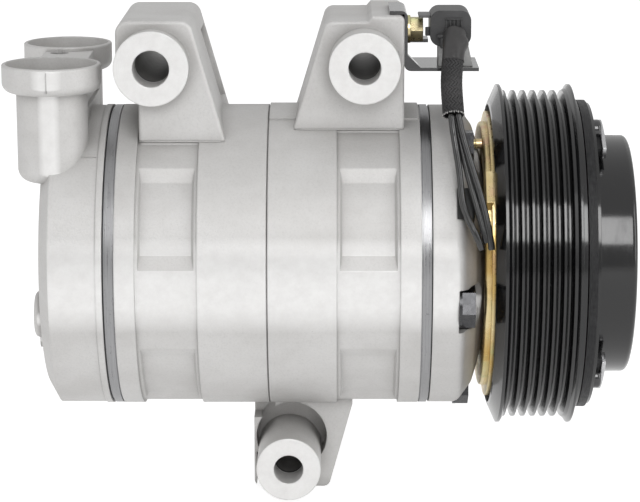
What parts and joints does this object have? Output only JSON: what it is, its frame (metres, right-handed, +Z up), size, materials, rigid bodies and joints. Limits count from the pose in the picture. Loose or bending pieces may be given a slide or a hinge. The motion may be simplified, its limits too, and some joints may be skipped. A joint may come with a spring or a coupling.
{
  "type": "automotive air-conditioning compressor",
  "caption": "Swash-plate air-conditioning compressor with mounting ears, round port cups and a ribbed magnetic-clutch pulley.",
  "frame": {"origin": "on the shaft axis, in the middle of the six belt grooves", "axes": "+X along the shaft, from the rear head to the pulley and hub; +Z up through the two upper ears"},
  "size_m": [0.218, 0.1212, 0.1722],
  "materials": {
    "cast_aluminium": "as-cast, fine grain, machined on the joint faces",
    "valve_steel": "ground steel sheet",
    "gasket": "coated gasket, dull",
    "steel": "ground bearing steel",
    "piston_coat": "aluminium with a dark low-friction coat",
    "bronze": "sintered bronze facing",
    "zinc_gold": "yellow zinc plated steel",
    "black_paint": "glossy black coat",
    "armature_steel": "dark phosphate coat",
    "copper": "enamelled copper wire",
    "rubber": "moulded rubber",
    "black_steel": "black coated sheet",
    "connector_plastic": "moulded, slightly satin",
    "clip_plastic": "pale moulded clip",
    "braid": "braided sleeve",
    "wire": "smooth insulation"
  },
  "bodies": {
    "housing": {"bearing_inner_ring": "steel", "bearing_retaining_ring": "steel", "block_seal": "rubber", "bracket_bolt": "zinc_gold", "coil_housing": "zinc_gold", "coil_stud": "zinc_gold", "coil_winding": "copper", "connector_bracket": "black_steel", "connector_clip": "clip_plastic", "connector_housing": "connector_plastic", "fixed_thrust_races": "steel", "front_block": "cast_aluminium", "front_discharge_reeds": "valve_steel", "front_head": "cast_aluminium", "front_head_gasket": "gasket", "front_suction_reeds": "valve_steel", "front_valve_plate": "valve_steel", "harness_sleeve": "braid", "lead_grommet": "rubber", "lead_wires": "wire", "needle_cups": "steel", "rear_block": "cast_aluminium", "rear_discharge_reeds": "valve_steel", "rear_head": "cast_aluminium", "rear_head_gasket": "gasket", "rear_suction_reeds": "valve_steel", "rear_valve_plate": "valve_steel", "seal_retaining_ring": "steel", "shaft_seal": "rubber", "through_bolts": "steel"},
    "shaft": {"shaft": "steel", "swash_plate": "steel", "moving_thrust_races": "steel", "clutch_hub": "black_paint", "hub_damper": "rubber", "hub_nut": "zinc_gold"},
    "swash_facings": {"swash_facings": "bronze"},
    "needle_cages": {"needle_cages": "steel"},
    "thrust_rollers": {"thrust_rollers": "steel"},
    "pulley": {"pulley": "black_paint", "bearing_outer_ring": "steel"},
    "bearing_balls": {"bearing_balls": "steel"},
    "armature": {"armature_plate": "armature_steel", "damper_cover": "black_paint", "armature_rivets": "steel"},
    "front_shoe_1": {"front_shoe_1": "steel"},
    "rear_shoe_1": {"rear_shoe_1": "steel"},
    "piston_1": {"piston_1": "piston_coat"},
    "front_shoe_2": {"front_shoe_2": "steel"},
    "rear_shoe_2": {"rear_shoe_2": "steel"},
    "piston_2": {"piston_2": "piston_coat"},
    "front_shoe_3": {"front_shoe_3": "steel"},
    "rear_shoe_3": {"rear_shoe_3": "steel"},
    "piston_3": {"piston_3": "piston_coat"},
    "front_shoe_4": {"front_shoe_4": "steel"},
    "rear_shoe_4": {"rear_shoe_4": "steel"},
    "piston_4": {"piston_4": "piston_coat"},
    "front_shoe_5": {"front_shoe_5": "steel"},
    "rear_shoe_5": {"rear_shoe_5": "steel"},
    "piston_5": {"piston_5": "piston_coat"}
  },
  "joints": [
    {"name": "shaft_spin", "type": "hinge", "parent": "housing", "child": "shaft", "pos_m": [0, 0, 0], "axis": [1, 0, 0], "continuous": true},
    {"name": "facing_nutation", "type": "hinge", "parent": "shaft", "child": "swash_facings", "pos_m": [-0.09315, 0, 0], "axis": [0.9457, 0, 0.3251], "continuous": true},
    {"name": "needle_cage_spin", "type": "hinge", "parent": "housing", "child": "needle_cages", "pos_m": [-0.0936, 0, 0], "axis": [1, 0, 0], "continuous": true},
    {"name": "thrust_roller_spin", "type": "hinge", "parent": "housing", "child": "thrust_rollers", "pos_m": [-0.0936, 0, 0], "axis": [1, 0, 0], "continuous": true},
    {"name": "pulley_spin", "type": "hinge", "parent": "housing", "child": "pulley", "pos_m": [0, 0, 0], "axis": [1, 0, 0], "continuous": true},
    {"name": "bearing_ball_spin", "type": "hinge", "parent": "housing", "child": "bearing_balls", "pos_m": [0, 0, 0], "axis": [1, 0, 0], "continuous": true},
    {"name": "armature_travel", "type": "slide", "parent": "shaft", "child": "armature", "axis": [-1, 0, 0], "range_m": [0, 0.00045]},
    {"name": "front_shoe_1_glide", "type": "hinge", "parent": "swash_facings", "child": "front_shoe_1", "pos_m": [-0.09784, -0.02959, 0.01365], "axis": [0.9457, 0, 0.3251], "continuous": true},
    {"name": "rear_shoe_1_glide", "type": "hinge", "parent": "front_shoe_1", "child": "rear_shoe_1", "pos_m": [-0.09797, -0.02876, 0.01403], "axis": [0.9457, 0, 0.3251], "continuous": true},
    {"name": "piston_1_stroke", "type": "hinge", "parent": "rear_shoe_1", "child": "piston_1", "pos_m": [-0.09797, -0.02876, 0.01403], "axis": [1, 0, 0], "continuous": true},
    {"name": "front_shoe_2_glide", "type": "hinge", "parent": "swash_facings", "child": "front_shoe_2", "pos_m": [-0.08545, -0.02287, -0.02239], "axis": [0.9457, 0, 0.3251], "continuous": true},
    {"name": "rear_shoe_2_glide", "type": "hinge", "parent": "front_shoe_2", "child": "rear_shoe_2", "pos_m": [-0.08524, -0.02223, -0.02302], "axis": [0.9457, 0, 0.3251], "continuous": true},
    {"name": "piston_2_stroke", "type": "hinge", "parent": "rear_shoe_2", "child": "piston_2", "pos_m": [-0.08524, -0.02223, -0.02302], "axis": [1, 0, 0], "continuous": true},
    {"name": "front_shoe_3_glide", "type": "hinge", "parent": "swash_facings", "child": "front_shoe_3", "pos_m": [-0.0837, 0.01545, -0.02749], "axis": [0.9457, 0, 0.3251], "continuous": true},
    {"name": "rear_shoe_3_glide", "type": "hinge", "parent": "front_shoe_3", "child": "rear_shoe_3", "pos_m": [-0.08344, 0.01502, -0.02825], "axis": [0.9457, 0, 0.3251], "continuous": true},
    {"name": "piston_3_stroke", "type": "hinge", "parent": "rear_shoe_3", "child": "piston_3", "pos_m": [-0.08344, 0.01502, -0.02825], "axis": [1, 0, 0], "continuous": true},
    {"name": "front_shoe_4_glide", "type": "hinge", "parent": "swash_facings", "child": "front_shoe_4", "pos_m": [-0.09501, 0.03242, 0.00541], "axis": [0.9457, 0, 0.3251], "continuous": true},
    {"name": "rear_shoe_4_glide", "type": "hinge", "parent": "front_shoe_4", "child": "rear_shoe_4", "pos_m": [-0.09506, 0.03151, 0.00556], "axis": [0.9457, 0, 0.3251], "continuous": true},
    {"name": "piston_4_stroke", "type": "hinge", "parent": "rear_shoe_4", "child": "piston_4", "pos_m": [-0.09506, 0.03151, 0.00556], "axis": [1, 0, 0], "continuous": true},
    {"name": "front_shoe_5_glide", "type": "hinge", "parent": "swash_facings", "child": "front_shoe_5", "pos_m": [-0.10375, 0.00458, 0.03083], "axis": [0.9457, 0, 0.3251], "continuous": true},
    {"name": "rear_shoe_5_glide", "type": "hinge", "parent": "front_shoe_5", "child": "rear_shoe_5", "pos_m": [-0.10404, 0.00445, 0.03169], "axis": [0.9457, 0, 0.3251], "continuous": true},
    {"name": "piston_5_stroke", "type": "hinge", "parent": "rear_shoe_5", "child": "piston_5", "pos_m": [-0.10404, 0.00445, 0.03169], "axis": [1, 0, 0], "continuous": true}
  ],
  "couplings": [
    {"joint": "facing_nutation", "follows": "shaft_spin", "ratio": -1},
    {"joint": "needle_cage_spin", "follows": "shaft_spin", "ratio": 0.43},
    {"joint": "thrust_roller_spin", "follows": "shaft_spin", "ratio": 0.5},
    {"joint": "bearing_ball_spin", "follows": "pulley_spin", "ratio": 0.57},
    {"joint": "front_shoe_1_glide", "follows": "shaft_spin", "ratio": 2},
    {"joint": "rear_shoe_1_glide", "follows": "shaft_spin", "ratio": -1},
    {"joint": "piston_1_stroke", "follows": "shaft_spin", "ratio": -1},
    {"joint": "front_shoe_2_glide", "follows": "shaft_spin", "ratio": 2},
    {"joint": "rear_shoe_2_glide", "follows": "shaft_spin", "ratio": -1},
    {"joint": "piston_2_stroke", "follows": "shaft_spin", "ratio": -1},
    {"joint": "front_shoe_3_glide", "follows": "shaft_spin", "ratio": 2},
    {"joint": "rear_shoe_3_glide", "follows": "shaft_spin", "ratio": -1},
    {"joint": "piston_3_stroke", "follows": "shaft_spin", "ratio": -1},
    {"joint": "front_shoe_4_glide", "follows": "shaft_spin", "ratio": 2},
    {"joint": "rear_shoe_4_glide", "follows": "shaft_spin", "ratio": -1},
    {"joint": "piston_4_stroke", "follows": "shaft_spin", "ratio": -1},
    {"joint": "front_shoe_5_glide", "follows": "shaft_spin", "ratio": 2},
    {"joint": "rear_shoe_5_glide", "follows": "shaft_spin", "ratio": -1},
    {"joint": "piston_5_stroke", "follows": "shaft_spin", "ratio": -1}
  ]
}
